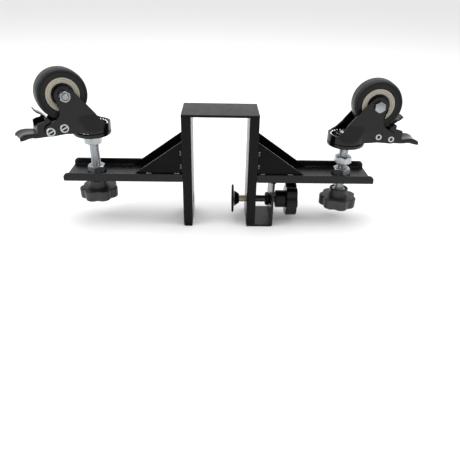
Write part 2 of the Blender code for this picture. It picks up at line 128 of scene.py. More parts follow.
def curve_through(points, steps):
    """A smooth curve through points of any dimension, with steps between each two."""
    points = [Vector(p) for p in points]
    ends = [points[0] * 2 - points[1]] + points + [points[-1] * 2 - points[-2]]
    found = []
    for a, b, c, d in zip(ends, ends[1:], ends[2:], ends[3:]):
        for k in range(steps):
            t = k / steps
            found.append((b * 2 + (c - a) * t + (a * 2 - b * 5 + c * 4 - d) * t * t
                          + (b * 3 - a - c * 3 + d) * t ** 3) / 2)
    return found + [points[-1]]


def smooth_step(low, high, value):
    t = min(max((value - low) / (high - low), 0), 1)
    return t * t * (3 - 2 * t)


# Meshes.


def loft(rings, bored=False):
    """A closed body through rings of equal count. A bored one joins its last ring to its first."""
    mesh = bmesh.new()
    loops = [[mesh.verts.new(point) for point in points] for points in rings]
    count = len(loops[0])
    pairs = list(zip(loops, loops[1:]))
    if bored:
        pairs.append((loops[-1], loops[0]))
    else:
        mesh.faces.new(loops[0][::-1])
        mesh.faces.new(loops[-1])
    for low, high in pairs:
        for k in range(count):
            mesh.faces.new((low[k], low[(k + 1) % count], high[(k + 1) % count], high[k]))
    bmesh.ops.recalc_face_normals(mesh, faces=mesh.faces)
    return mesh


def ring(radii, height):
    step = 2 * math.pi / len(radii)
    return [Vector((r * math.cos(k * step), r * math.sin(k * step), height)) for k, r in enumerate(radii)]


def turned(profile, count=72, bored=False):
    """A round body about Z through the (radius, height) points of its profile."""
    return loft([ring([radius] * count, height) for radius, height in profile], bored)


def extruded(outline, low, high, along):
    places = {
        "X": lambda p, d: (d, p[0], p[1]),
        "Y": lambda p, d: (p[0], d, p[1]),
        "Z": lambda p, d: (p[0], p[1], d),
    }
    return loft([[Vector(places[along](point, distance)) for point in outline] for distance in (low, high)])


def sheet(rows):
    """An open sheet through rows of points."""
    mesh = bmesh.new()
    lines = [[mesh.verts.new(point) for point in row] for row in rows]
    for low, high in zip(lines, lines[1:]):
        for k in range(len(low) - 1):
            mesh.faces.new((low[k], low[k + 1], high[k + 1], high[k]))
    return mesh


def joined(meshes):
    """One mesh that holds several, which are used up."""
    whole = bmesh.new()
    for mesh in meshes:
        data = bpy.data.meshes.new("joined")
        mesh.to_mesh(data)
        mesh.free()
        whole.from_mesh(data)
        bpy.data.meshes.remove(data)
    return whole


def moved(mesh, matrix):
    mesh.transform(matrix)
    return mesh


def shift(x, y, z):
    return Matrix.Translation((x, y, z))


# Objects.


FINISHES = {}
ALONG_X = Matrix.Rotation(math.pi / 2, 4, "Y")
ALONG_Y = Matrix.Rotation(-math.pi / 2, 4, "X")
UPSIDE_DOWN = Matrix.Rotation(math.pi, 4, "X")


def piece(name, mesh, finish, body, nodes=(), at=None, sharp=32, bevel=0):
    """A finished piece that rides on a body and stands for the nodes it replaces."""
    data = bpy.data.meshes.new(name)
    mesh.to_mesh(data)
    mesh.free()
    data.materials.append(FINISHES[finish])
    data.shade_smooth()
    obj = bpy.data.objects.new(name, data)
    bpy.context.scene.collection.objects.link(obj)
    if at is not None:
        obj.matrix_world = at
    if bevel:
        rounding = obj.modifiers.new("rounding", "BEVEL")
        rounding.width = bevel
        rounding.segments = 3
        rounding.limit_method = "ANGLE"
        rounding.angle_limit = math.radians(40)
        rounding.harden_normals = True
        rounding.use_clamp_overlap = True
    else:
        data.set_sharp_from_angle(angle=math.radians(sharp))
    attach(obj, body)
    if nodes:
        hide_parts(*nodes)
    return obj


def thicken(obj, thickness, edge):
    """Gives an open sheet its thickness, inwards, and rounds its edges."""
    thick = obj.modifiers.new("sheet", "SOLIDIFY")
    thick.thickness = thickness
    thick.offset = -1
    rounding = obj.modifiers.new("rounding", "BEVEL")
    rounding.width = edge
    rounding.segments = 2
    rounding.limit_method = "ANGLE"
    rounding.angle_limit = math.radians(50)


def settle(obj):
    """Applies a piece's modifiers to its mesh."""
    graph = bpy.context.evaluated_depsgraph_get()
    data = bpy.data.meshes.new_from_object(obj.evaluated_get(graph))
    obj.modifiers.clear()
    obj.data = data


def cut(mesh, cutters):
    """The mesh with the cutters taken out of it."""
    holders = []
    for part in [mesh] + cutters:
        data = bpy.data.meshes.new("cut")
        part.to_mesh(data)
        part.free()
        holder = bpy.data.objects.new("cut", data)
        bpy.context.scene.collection.objects.link(holder)
        holders.append(holder)
    target = holders[0]
    for cutter in holders[1:]:
        modifier = target.modifiers.new("cut", "BOOLEAN")
        modifier.object = cutter
    settle(target)
    result = bmesh.new()
    result.from_mesh(target.data)
    for holder in holders:
        bpy.data.objects.remove(holder)
    return result


# Materials.


def finish_material(slot, colour, roughness, metallic=0.0, ior=1.45, grain=900.0, grain_depth=0.00002,
                    mottle=0.25, spread=0.06, wave=0.0):
    """A finish with a fine grain and a slow wave in its bump, and slow changes of colour and roughness."""
    made = bpy.data.materials.new(slot + "_finish")
    made.use_nodes = True
    made.diffuse_color = (*colour, 1)
    tree = made.node_tree
    shader = tree.nodes["Principled BSDF"]
    place = tree.nodes.new("ShaderNodeTexCoord").outputs["Object"]

    def noise_node(scale, detail):
        node = tree.nodes.new("ShaderNodeTexNoise")
        node.inputs["Scale"].default_value = scale
        node.inputs["Detail"].default_value = detail
        node.inputs["Roughness"].default_value = 0.6
        tree.links.new(place, node.inputs["Vector"])
        return node.outputs["Fac"]

    def spanned(source, low, high):
        node = tree.nodes.new("ShaderNodeMapRange")
        node.inputs["From Min"].default_value = 0.3
        node.inputs["From Max"].default_value = 0.7
        node.inputs["To Min"].default_value = low
        node.inputs["To Max"].default_value = high
        tree.links.new(source, node.inputs["Value"])
        return node.outputs["Result"]

    shades = tree.nodes.new("ShaderNodeMixRGB")
    shades.inputs["Color1"].default_value = (*[c * (1 - mottle) for c in colour], 1)
    shades.inputs["Color2"].default_value = (*[min(c * (1 + mottle), 1) for c in colour], 1)
    tree.links.new(spanned(noise_node(45.0, 3.0), 0.0, 1.0), shades.inputs["Fac"])
    tree.links.new(shades.outputs["Color"], shader.inputs["Base Color"])
    tree.links.new(spanned(noise_node(160.0, 4.0), max(roughness - spread, 0.03), roughness + spread),
                   shader.inputs["Roughness"])
    bump = tree.nodes.new("ShaderNodeBump")
    bump.inputs["Distance"].default_value = grain_depth
    bump.inputs["Strength"].default_value = 1.0
    tree.links.new(noise_node(grain, 2.0), bump.inputs["Height"])
    tree.links.new(bump.outputs["Normal"], shader.inputs["Normal"])
    if wave:
        slow_bump = tree.nodes.new("ShaderNodeBump")
        slow_bump.inputs["Distance"].default_value = wave
        slow_bump.inputs["Strength"].default_value = 1.0
        tree.links.new(noise_node(140.0, 2.0), slow_bump.inputs["Height"])
        tree.links.new(bump.outputs["Normal"], slow_bump.inputs["Normal"])
        tree.links.new(slow_bump.outputs["Normal"], shader.inputs["Normal"])
    shader.inputs["Metallic"].default_value = metallic
    shader.inputs["IOR"].default_value = ior
    FINISHES[slot] = made


def make_finishes():
    # Four copies of one black paint with the same colour, differing only in IOR: lit and shaded copies,
    # painted light and shade that make the bridge, legs, gussets and arms reflect more or less.
    for slot, ior in (("black_coat", 1.20), ("leg_coat", 1.215), ("gusset_coat", 1.17), ("arm_coat", 1.34)):
        finish_material(slot, (0.0028, 0.0028, 0.0033), 0.27, ior=ior, grain=700, grain_depth=0.000009,
                        wave=0.00002)
    # The weld beads carry the frame's black paint; this brighter, glossier copy gives them painted
    # highlights.
    finish_material("weld_black", (0.006, 0.006, 0.0065), 0.12, ior=1.9, grain=900, grain_depth=0.00003,
                    wave=0.00005)
    finish_material("matt_black", (0.004, 0.004, 0.004), 0.65, ior=1.15, grain=900, grain_depth=0.00002)
    # dark_zinc is a darker copy of the zinc; on the clamp screw it is painted shade.
    finish_material("dark_zinc", (0.10, 0.095, 0.085), 0.30, metallic=1.0, grain=1400, grain_depth=0.00001)
    finish_material("black_stamping", (0.003, 0.003, 0.0032), 0.14, ior=1.36, grain=500, grain_depth=0.000008,
                    wave=0.00002)
    finish_material("zinc", (0.44, 0.46, 0.475), 0.31, metallic=1.0, grain=1400, grain_depth=0.00001,
                    mottle=0.15)
    # nut_zinc is a darker, glossier copy of the zinc for the lock nuts: painted shade for their darker
    # reflections.
    finish_material("nut_zinc", (0.36, 0.375, 0.39), 0.26, metallic=1.0, grain=1400, grain_depth=0.00001,
                    mottle=0.2)
    finish_material("bolt_zinc", (0.28, 0.295, 0.31), 0.26, metallic=1.0, grain=1400, grain_depth=0.00001,
                    mottle=0.2)
    finish_material("warm_zinc", (0.52, 0.45, 0.36), 0.30, metallic=1.0, grain=1400, grain_depth=0.00001,
                    mottle=0.2)
    finish_material("knob_plastic", (0.022, 0.022, 0.024), 0.38, ior=1.42, grain=1100, grain_depth=0.00002)
    finish_material("knob_gloss", (0.004, 0.004, 0.0045), 0.22, ior=1.28, grain=1100, grain_depth=0.000015)
    finish_material("tread_rubber", (0.0055, 0.006, 0.0065), 0.40, ior=1.30, grain=1600, grain_depth=0.00002,
                    wave=0.00003)
    finish_material("core_nylon", (0.38, 0.345, 0.285), 0.42, grain=900, grain_depth=0.00002, mottle=0.06)
    # This black serves the bearing seals, and in the rivets' recesses it is painted shade.
    finish_material("seal_black", (0.004, 0.004, 0.004), 0.30, ior=1.35, grain=1400, grain_depth=0.00001)
    finish_material("bright_steel", (0.72, 0.72, 0.73), 0.12, metallic=1.0, grain=900, grain_depth=0.000004,
                    mottle=0.05, spread=0.03)


# The welded frame.


def channel_outline(web, flange):
    """A channel's section: its web lies on x = 0 and its flanges reach to x = flange."""
    half = HALF_DEPTH
    inside = 0.8 * MM
    return rounded([
        (0, -half, BEND),
        (flange, -half, 0),
        (flange, -half + web, 0),
        (web, -half + web, inside),
        (web, half - web, inside),
        (flange, half - web, 0),
        (flange, half, 0),
        (0, half, BEND),
    ], 8)


def bore(radius, x, z, reach=5 * MM):
    """A round cutter along X."""
    return moved(turned([(radius, -reach), (radius, reach)], 48), shift(x, 0, z) @ ALONG_X)


def make_bridge():
    low, high = BRIDGE_LOW, BRIDGE_HIGH
    step = 0.3 * MM
    seat = LEG_LOW.x - step
    outline = [(low.x, high.z), (low.x, step), (-seat, step), (-seat, 0), (seat, 0), (seat, step),
               (high.x, step), (high.x, high.z)]
    piece("bridge_strip", extruded(outline, low.y, high.y, "Y"), "black_coat", "root", ["bridge_plate"],
          bevel=0.45 * MM)


def make_leg(side, sign):
    outline = [(sign * (LEG_LOW.x + x), y) for x, y in channel_outline(SHEET, LEG_HIGH.x - LEG_LOW.x)]
    leg = extruded(outline, LEG_LOW.z, LEG_HIGH.z, "Z")
    radius = SCREW_RADIUS + 0.5 * MM if sign > 0 else 5.5 * MM
    leg = cut(leg, [bore(radius, sign * (LEG_LOW.x + SHEET / 2), CLAMP_Z)])
    piece(side + "_leg_pressing", leg, "leg_coat", "root", [side + "_leg_channel"], bevel=BEVEL)


def make_arm(side, sign):
    stem = Vector(JOINTS[side + "_swivel"]["pos_m"])
    low, high = ARM_LOW, ARM_HIGH
    outline = [(y, low.z + x) for x, y in channel_outline(SHEET, high.z - low.z)]
    ends = sorted((sign * low.x, sign * high.x))
    corner = 5 * MM
    over = 2 * MM
    curve = arc((high.x - corner, high.z - corner), corner, 90, 0, 10)
    nose = [(high.x + over, high.z - corner), (high.x + over, high.z + over),
            (high.x - corner, high.z + over)]
    nose = extruded([(sign * x, z) for x, z in nose + curve], 2 * low.y, 2 * high.y, "Y")
    hole = moved(turned([(STEM_RADIUS + 0.6 * MM, -5 * MM), (STEM_RADIUS + 0.6 * MM, 5 * MM)], 48),
                 shift(stem.x, stem.y, low.z))
    arm = cut(extruded(outline, ends[0], ends[1], "X"), [nose, hole])
    piece(side + "_arm_pressing", arm, "arm_coat", "root", [side + "_arm_channel"], bevel=BEVEL)


def make_gusset(side, sign, face):
    low, high = GUSSET_LOW, GUSSET_HIGH
    outline = rounded([(sign * low.x, low.z, 0), (sign * high.x, low.z, 0.4 * MM),
                       (sign * low.x, high.z, 0)], 4)
    ends = sorted((face * abs(low.y), face * abs(high.y)))
    name = f"{side}_{'front' if face < 0 else 'rear'}_gusset"
    piece(name + "_plate", extruded(outline, ends[0], ends[1], "Y"), "gusset_coat", "root", [name],
          bevel=0.4 * MM)


def make_clamp_box():
    inner, outer = BOX_LOW.x, BOX_HIGH.x
    outline = rounded([
        (inner, FLOOR, 0),
        (outer, FLOOR, BEND),
        (outer, BOX_HIGH.z, 0),
        (outer - SHEET, BOX_HIGH.z, 0),
        (outer - SHEET, FLOOR + SHEET, 0.8 * MM),
        (inner, FLOOR + SHEET, 0),
    ], 8)
    box = cut(extruded(outline, BOX_LOW.y, BOX_HIGH.y, "Y"),
              [bore(SCREW_RADIUS + 0.5 * MM, outer - SHEET / 2, CLAMP_Z)])
    piece("clamp_box_strip", box, "arm_coat", "root", ["clamp_box"], bevel=BEVEL)


def make_foot_plate():
    corners = [(FOOT_LOW.x, FOOT_LOW.y, 3 * MM), (FOOT_HIGH.x, FOOT_LOW.y, 1 * MM),
               (FOOT_HIGH.x, FOOT_HIGH.y, 1 * MM), (FOOT_LOW.x, FOOT_HIGH.y, 3 * MM)]
    piece("left_foot_cap", extruded(rounded(corners), FOOT_LOW.z, FOOT_HIGH.z, "Z"), "black_coat", "root",
          ["left_foot_plate"], bevel=0.4 * MM)


def weld(start, end, radius, spacing=1.1 * MM):
    """A row of overlapping lumps from start to end, each a little different from the last."""
    start, end = Vector(start), Vector(end)
    count = max(2, round((end - start).length / spacing))
    lumps = []
    for k in range(count):
        at = start.lerp(end, k / (count - 1))
        lump = bmesh.new()
        bmesh.ops.create_icosphere(lump, subdivisions=3, radius=1.0)
        for vertex in lump.verts:
            vertex.co *= 1 + 0.22 * noise.noise(vertex.co * 1.7 + at * 900)
        size = radius * (0.9 + 0.25 * noise.noise(at * 700))
        lumps.append(moved(lump, Matrix.Translation(at) @ Matrix.Diagonal((size, size, size, 1))))
    return joined(lumps)


def make_welds():
    """The beads along the gussets, the arms' roots, the saddle's corners and the clamp's plate."""
    beads = []
    for sign in (-1, 1):
        leg = sign * LEG_HIGH.x
        for face in (-1, 1):
            outside = face * (GUSSET_FACE + 0.5 * MM)
            root = (leg + sign * 0.4 * MM, face * (HALF_DEPTH - 1.1 * MM))
            beside = leg + sign * 1.2 * MM
            for share in (0.62, 0.30):
                z = GUSSET_LOW.z + (GUSSET_HIGH.z - GUSSET_LOW.z) * share
                beads.append(weld((beside, outside, z), (beside, outside, z + 2.6 * MM), 1.8 * MM))
            foot = ARM_HIGH.z + 0.1 * MM
            for x in (44 * MM, 74 * MM):
                beads.append(weld((sign * x, outside, foot), (sign * (x + 4 * MM), outside, foot), 1.2 * MM))
            beads.append(weld((*root, ARM_LOW.z + 2 * MM), (*root, ARM_HIGH.z - 1.5 * MM), 0.8 * MM))
        inner = sign * (LEG_LOW.x - 0.1 * MM)
        beads.append(weld((inner, -HALF_DEPTH + 3 * MM, -0.1 * MM), (inner, HALF_DEPTH - 3 * MM, -0.1 * MM),
                          0.5 * MM, 0.7 * MM))
    seam = BOX_HIGH.z - 0.4 * MM
    for y in (-20 * MM, 12 * MM):
        for x, radius in ((BOX_HIGH.x + 0.3 * MM, 1.5 * MM), (BOX_HIGH.x - SHEET - 0.3 * MM, 1.2 * MM)):
            beads.append(weld((x, y, seam), (x, y + 8 * MM, seam), radius))
    piece("frame_welds", joined(beads), "weld_black", "root", sharp=180)


# Fasteners.


def hexagon(count, across):
    """The radius of a six-sided ring at each of its points."""
    sixth = math.pi / 3
    angles = [(2 * math.pi * k / count) % sixth for k in range(count)]
    return [across / 2 / math.cos(a - (sixth if a > sixth / 2 else 0)) for a in angles]


def nut(across, height, bore_radius, count=72):
    """A six-sided nut on Z = 0 whose corners are chamfered at both ends, with a countersunk bore."""
    corner = across / 2 / math.cos(math.pi / 6)
    chamfer = 0.13 * height
    sides = hexagon(count, across)
    rings = [ring([bore_radius] * count, chamfer), ring([bore_radius + chamfer * 0.8] * count, 0)]
    face = across / 2 * 0.95
    ends = []
    for share in (0, 0.25, 0.5, 0.75, 1):
        radii = [min(r, face + (corner - face) * share) for r in sides]
        rings.append(ring(radii, chamfer * share))
        ends.append(ring(radii, height - chamfer * share))
    rings += ends[::-1]
    rings.append(ring([bore_radius + chamfer * 0.8] * count, height))
    rings.append(ring([bore_radius] * count, height - chamfer))
    return loft(rings, bored=True)


def thread(radius, pitch, low, high, count=40):
    """A screw thread along Z from low to high, with a chamfer at each end."""
    depth = 0.5 * pitch
    steps = round((high - low) / pitch * 8)
    rings = []
    for k in range(steps + 1):
        z = low + (high - low) * k / steps
        end = min(z - low, high - z)
        radii = []
        for i in range(count):
            phase = (z / pitch - i / count) % 1
            crest = min(max(2.6 * (1 - abs(phase * 2 - 1)) - 0.45, 0), 1)
            radii.append(min(radius - depth * (1 - crest), radius - depth * 1.2 + end))
        rings.append(ring(radii, z))
    return loft(rings)


def dome(radius, low, height, steps=6):
    """The profile of a domed end, from its rim towards the axis."""
    points = [(radius * math.cos(a), low + height * math.sin(a))
              for a in (math.pi / 2 * k / steps for k in range(steps))]
    return points + [(radius * 0.02, low + height)]


def make_weld_nuts():
    for side in ("left", "right"):
        low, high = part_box(side + "_weld_nut")
        centre = Vector(((low.x + high.x) / 2, (low.y + high.y) / 2, low.z))
        form = nut(NUT_ACROSS, high.z - low.z, STEM_RADIUS + 0.2 * MM)
        piece(side + "_weld_nut_form", form, "zinc", "root", [side + "_weld_nut"], shift(*centre))
        beads = []
        for angle in range(30, 390, 60):
            out = Vector((math.cos(math.radians(angle)), math.sin(math.radians(angle)), 0))
            along = Vector((-out.y, out.x, 0)) * 2.2 * MM
            spot = centre + out * (NUT_ACROSS / 2 + 0.6 * MM) + Vector((0, 0, 0.6 * MM))
            beads.append(weld(spot - along, spot + along, 1.4 * MM))
        piece(side + "_nut_welds", joined(beads), "black_coat", "root", sharp=180)
    low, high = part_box("clamp_weld_nut")
    at = shift(low.x, 0, CLAMP_Z) @ ALONG_X
    piece("clamp_weld_nut_form", nut(13 * MM, high.x - low.x, SCREW_RADIUS + 0.2 * MM), "black_coat", "root",
          ["clamp_weld_nut"], at)


# Knobs and the clamp.


def lobes(count, radius, dip):
    waves = [(1 + math.cos(KNOB_LOBES * 2 * math.pi * k / count)) / 2 for k in range(count)]
    return [radius - dip * (1 - wave) ** 1.7 for wave in waves]


def star_knob(radius, neck_radius, neck, head):
    """A lobed knob on Z = 0 with its face towards +Z, rounded edges and a recess in its neck's end."""
    count = KNOB_LOBES * 24
    outer = lobes(count, radius, 2.5 * MM)
    edge = 1.3 * MM
    wall = 1.7 * MM
    fillet = 1.2 * MM

    def shaped(inset, height):
        return ring([r - inset for r in outer], height)

    def round_ring(r, height):
        return ring([r] * count, height)

    rings = [round_ring(neck_radius - wall, 1.4 * MM), round_ring(neck_radius - wall, 0.2 * MM),
             round_ring(neck_radius - wall + 0.3 * MM, 0), round_ring(neck_radius - 0.5 * MM, 0),
             round_ring(neck_radius - 0.1 * MM, 0.2 * MM), round_ring(neck_radius, 0.6 * MM)]
    rings += [round_ring(neck_radius + fillet * (1 - math.cos(a)), neck - fillet * (1 - math.sin(a)))
              for a in (math.pi / 2 * k / 4 for k in range(5))]
    rings.append(ring([(neck_radius + fillet) * 0.4 + r * 0.6 for r in outer], neck))
    for a in (math.pi / 2 * k / 5 for k in range(6)):
        rings.append(shaped(edge * (1 - math.sin(a)), neck + edge * (1 - math.cos(a))))
    draft = 0.25 * MM
    for a in (math.pi / 2 * k / 5 for k in range(6)):
        rings.append(shaped(draft + edge * (1 - math.cos(a)), neck + head - edge * (1 - math.sin(a))))
    rings.append(ring([r * 0.6 for r in outer], neck + head - 0.05 * MM))
    return loft(rings)


def make_clamp():
    at = shift(0, 0, CLAMP_Z) @ ALONG_X
    pad = [(3 * MM, 0.5 * MM), (3.4 * MM, 0), (15.4 * MM, 0), (15.9 * MM, 0.25 * MM), (16 * MM, 0.7 * MM),
           (16 * MM, 1.5 * MM), (15.7 * MM, 2.0 * MM), (15 * MM, 2.1 * MM), (10 * MM, 2.3 * MM),
           (5 * MM, 2.5 * MM)]
    piece("clamp_pad_disc_form", moved(turned(pad, 96), shift(0, 0, PAD_LOW.x)), "matt_black", "clamp_pad",
          ["clamp_pad_disc"], at)
    cup_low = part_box("clamp_pad_cup")[0]
    cup = [(7.6 * MM, 0), (8.6 * MM, 0.1 * MM), (8.9 * MM, 0.6 * MM), (8.2 * MM, 1.6 * MM),
           (6.6 * MM, 3.9 * MM), (5.9 * MM, 5.0 * MM), (5.5 * MM, 5.5 * MM), (4.6 * MM, 5.5 * MM),
           (4.3 * MM, 5.1 * MM), (4.3 * MM, 3.5 * MM)]
    piece("clamp_pad_cup_form", moved(turned(cup, 64), shift(0, 0, cup_low.x)), "black_stamping", "clamp_pad",
          ["clamp_pad_cup"], at)
    low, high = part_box("clamp_screw")
    shade_edge = LEG_LOW.x + 1 * MM
    piece("clamp_screw_thread", thread(SCREW_RADIUS, SCREW_PITCH, low.x, shade_edge), "warm_zinc",
          "clamp_screw_body", ["clamp_screw"], at, sharp=50)
    # The stretch past the leg is the same zinc thread in a darker zinc: painted shade.
    piece("clamp_screw_shaded_thread", thread(SCREW_RADIUS, SCREW_PITCH, shade_edge - 0.5 * MM, high.x), "dark_zinc",
          "clamp_screw_body", at=at, sharp=50)
    low, high = CLAMP_KNOB_LOW, CLAMP_KNOB_HIGH
    head = 12.5 * MM
    knob = star_knob(19 * MM, 10 * MM, high.x - low.x - head, head)
    turn = Matrix.Rotation(math.radians(10), 4, "Z")
    piece("clamp_knob_moulding", knob, "knob_gloss", "clamp_screw_body", ["clamp_knob"],
          shift(low.x, 0, CLAMP_Z) @ ALONG_X @ turn)
    insert = nut(12 * MM, 3 * MM, SCREW_RADIUS + 0.1 * MM)
    piece("clamp_knob_insert", insert, "dark_zinc", "clamp_screw_body",
          at=shift(low.x + 1.0 * MM, 0, CLAMP_Z) @ ALONG_X)


# Casters.


def make_stem(side, local):
    body = side + "_stem_body"
    knob_low, knob_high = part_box(side + "_height_knob")
    stem_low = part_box(side + "_stem")[0]
    origin = local.translation.z
    parts = [thread(STEM_RADIUS, STEM_PITCH, stem_low.z - origin, 1.0 * MM)]
    head = [(STEM_RADIUS, 0.5 * MM), (STEM_RADIUS, 15.2 * MM), (7.3 * MM, 15.25 * MM), (7.5 * MM, 15.6 * MM),
            (7.4 * MM, 16.4 * MM), (6.4 * MM, 17.2 * MM), (4.0 * MM, 17.5 * MM)]
    parts.append(turned(head, 48))
    piece(side + "_stem_thread", joined(parts), "zinc", body, [side + "_stem"], local, sharp=50)
    radius = 21 * MM
    face = 11.5 * MM
    neck_end = knob_high.z - origin
    knob = star_knob(radius, 10.4 * MM, knob_high.z - knob_low.z - face, face)
    turn = Matrix.Rotation(math.radians(12 if side == "left" else 30), 4, "Z")
    piece(side + "_height_knob_moulding", knob, "knob_plastic", body, [side + "_height_knob"],
          local @ shift(0, 0, neck_end) @ UPSIDE_DOWN @ turn)
    insert = nut(14 * MM, 4 * MM, STEM_RADIUS + 0.1 * MM)
    piece(side + "_knob_insert", insert, "zinc", body, at=local @ shift(0, 0, neck_end - 4.5 * MM))
    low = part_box(side + "_lock_nut")[0]
    turn = Matrix.Rotation(math.radians(31 if side == "left" else 3), 4, "Z")
    piece(side + "_lock_nut_form", nut(NUT_ACROSS, NUT_HEIGHT, STEM_RADIUS + 0.2 * MM), "nut_zinc",
          side + "_lock_nut_body", [side + "_lock_nut"], local @ shift(0, 0, low.z - origin) @ turn)


def make_races(side, local):
    """The pressed top race, the retainer and the two rings of loose balls."""
    body = side + "_stem_body"
    rim = RACE_RADIUS
    wall = 1.6 * MM
    bore_radius = 5.3 * MM
    lower = curve_through([(bore_radius, 0), (9 * MM, 0), (11.5 * MM, 0.2 * MM), (16.5 * MM, 1.35 * MM),
                           (19 * MM, 2.3 * MM), (rim, 3.8 * MM), (rim, 6.0 * MM)], 4)
    upper = curve_through([(rim - wall * 0.5, 6.4 * MM), (rim - wall, 6.0 * MM), (rim - wall, 4.6 * MM),
                           (16.5 * MM, 3.3 * MM), (11.5 * MM, 2.0 * MM), (bore_radius, wall)], 4)
    profile = [tuple(p) for p in lower + upper]
    piece(side + "_top_race_pressing", turned(profile, 96, bored=True), "black_stamping", body,
          [side + "_top_race"], local, sharp=60)
    retainer = rounded([(bore_radius, 13.6 * MM, 0.3 * MM), (11.7 * MM, 13.6 * MM, 0.5 * MM),
                        (11.2 * MM, 15.0 * MM, 0.5 * MM), (bore_radius, 15.0 * MM, 0.3 * MM)], 5)
    piece(side + "_retainer_pressing", turned(retainer, 72, bored=True), "black_stamping", body,
          [side + "_retainer_cup"], local)
    carrier = side + "_race_carrier"
    for name, count, radius, size, height in (("main", 24, 15.6 * MM, 2.1 * MM, 6.3 * MM),
                                              ("upper", 28, 16.6 * MM, 1.25 * MM, 13.2 * MM)):
        balls = []
        for k in range(count):
            angle = 2 * math.pi * k / count
            ball = bmesh.new()
            bmesh.ops.create_icosphere(ball, subdivisions=3, radius=size)
            balls.append(moved(ball, shift(radius * math.cos(angle), radius * math.sin(angle), height)))
        piece(f"{side}_{name}_balls", joined(balls), "bright_steel", carrier, [f"{side}_{name}_ball_ring"],
              local, sharp=180)


def plate_offset(a, h):
    """How far the fork's outer face stands from its middle plane: a flat plate that flares out to the cup."""
    round_part = math.sqrt(max(RACE_RADIUS ** 2 - a * a, 0)) - PLATE_OUTER
    rise = smooth_step(8.0 * MM, 27.0 * MM, h)
    soft = (1.2 + 5.0 * rise) * MM
    excess = (round_part + math.sqrt(round_part ** 2 + soft ** 2)) / 2
    flare = 1 - rise
    return PLATE_OUTER + excess * flare


def make_fork(side, local, axle, pivot):
    """One pressing: a plate up each side of the wheel, which flares into the round skirt of the ball cup."""
    nose = 5.2 * MM
    # Each pair is a point of the upper outline and the point of the lower edge that lies across from it.
    pairs = [
        ((pivot.x + nose, pivot.z + 0.4 * MM), (pivot.x + nose, pivot.z - 0.4 * MM)),
        ((pivot.x + 5.0 * MM, pivot.z + 3.2 * MM), (pivot.x + 4.4 * MM, pivot.z - 2.8 * MM)),
        ((pivot.x + 2.6 * MM, pivot.z + 6.3 * MM), (pivot.x + 1.4 * MM, pivot.z - 4.8 * MM)),
        ((pivot.x - 4.0 * MM, pivot.z + 9.4 * MM), (pivot.x - 5.0 * MM, pivot.z - 4.6 * MM)),
        ((pivot.x - 9.2 * MM, pivot.z + 13.6 * MM), (pivot.x - 11 * MM, pivot.z - 4.3 * MM)),
        ((pivot.x - 11.2 * MM, pivot.z + 19.5 * MM), (pivot.x - 15 * MM, pivot.z - 4.2 * MM)),
    ]
    boss = arc((axle.x, axle.z), BOSS_RADIUS, -24, 144, 15)
    for k, point in enumerate(boss):
        share = k / len(boss)
        pairs.append((point, (pivot.x - (18 + 18 * share) * MM, pivot.z - (4.6 + 1.6 * share) * MM)))
    pairs += [
        ((7.0 * MM, 38.6 * MM), (5.5 * MM, SKIRT_LOW)),
        ((-0.2 * MM, 29.6 * MM), (0 * MM, SKIRT_LOW)),
        ((-5.4 * MM, 22.2 * MM), (-5.0 * MM, SKIRT_LOW)),
        ((-9.8 * MM, 17.3 * MM), (-9.6 * MM, SKIRT_LOW)),
        ((-14.1 * MM, RIM_HIGH), (-14.1 * MM, SKIRT_LOW)),
    ]
    columns = curve_through([(*top, *bottom) for top, bottom in pairs], 4)
    steps = 22
    half = []
    for top_a, top_h, low_a, low_h in columns:
        column = []
        for k in range(steps + 1):
            t = k / steps
            a, h = low_a + (top_a - low_a) * t, low_h + (top_h - low_h) * t
            column.append(Vector((a, plate_offset(a, h), h)))
        half.append(column)
    back = []
    for k in range(1, 24):
        angle = math.radians(135 + 90 * k / 24)
        back.append([Vector((RACE_RADIUS * math.cos(angle), RACE_RADIUS * math.sin(angle),
                             SKIRT_LOW + (RIM_HIGH - SKIRT_LOW) * j / steps)) for j in range(steps + 1)])
    mirrored = [[Vector((p.x, -p.y, p.z)) for p in column] for column in reversed(half)]
    mesh = sheet(half + back + mirrored)
    bmesh.ops.recalc_face_normals(mesh, faces=mesh.faces)
    fork = piece(side + "_fork_pressing", mesh, "black_stamping", side + "_fork_body", [side + "_fork"],
                 local, sharp=180)
    thicken(fork, PLATE_SHEET, 0.5 * MM)
    pan = rounded([(6 * MM, 8.6 * MM, 0.4 * MM), (16.6 * MM, 8.6 * MM, 1 * MM),
                   (18.35 * MM, 9.4 * MM, 0.8 * MM), (18.35 * MM, 11.7 * MM, 0.3 * MM),
                   (17.2 * MM, 11.7 * MM, 0.3 * MM), (15.8 * MM, 10.1 * MM, 1 * MM),
                   (6 * MM, 10.0 * MM, 0.4 * MM)], 5)
    piece(side + "_fork_cup", turned(pan, 96, bored=True), "black_stamping", side + "_fork_body", at=local,
          sharp=50)


